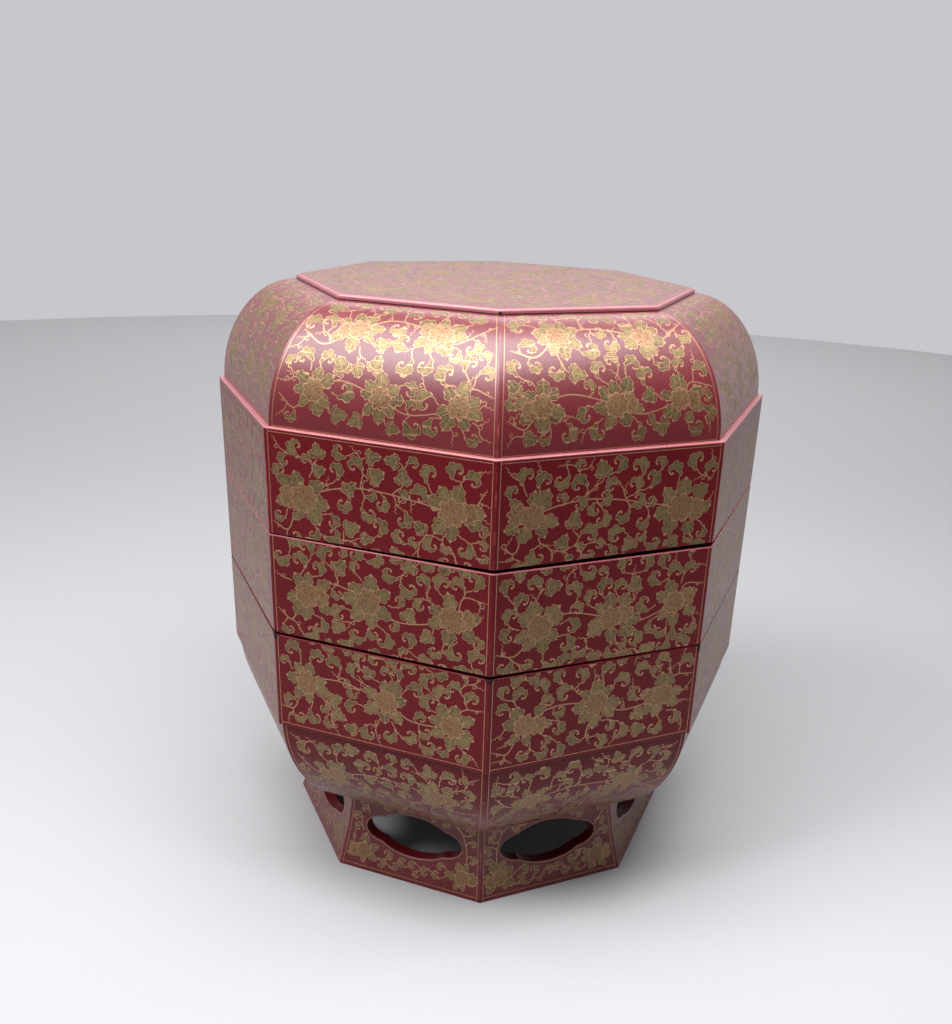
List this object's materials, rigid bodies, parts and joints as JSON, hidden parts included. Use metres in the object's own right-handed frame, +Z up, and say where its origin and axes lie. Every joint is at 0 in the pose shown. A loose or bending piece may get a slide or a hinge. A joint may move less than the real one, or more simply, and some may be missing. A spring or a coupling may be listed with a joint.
{
  "type": "tiered food box",
  "caption": "Octagonal tiered food box in red lacquered wood with incised gold flower scrolls: domed lift-off lid, stacking tiers, bowl-shaped base and a low flared foot with windows.",
  "frame": {"origin": "centre of the foot's underside, on the ground", "axes": "+Z up along the box's axis; the octagon's flats face +X, -X, +Y and -Y and the four directions between"},
  "size_m": [0.385, 0.385, 0.4405],
  "materials": {
    "red_lacquer": "glossy vermilion-red lacquer over wood, with gilded incised flower scrolls, and dark lacquer inside"
  },
  "bodies": {
    "root": {"lid": "red_lacquer", "middle_tier": "red_lacquer", "bottom_tier": "red_lacquer", "foot": "red_lacquer"}
  },
  "joints": []
}
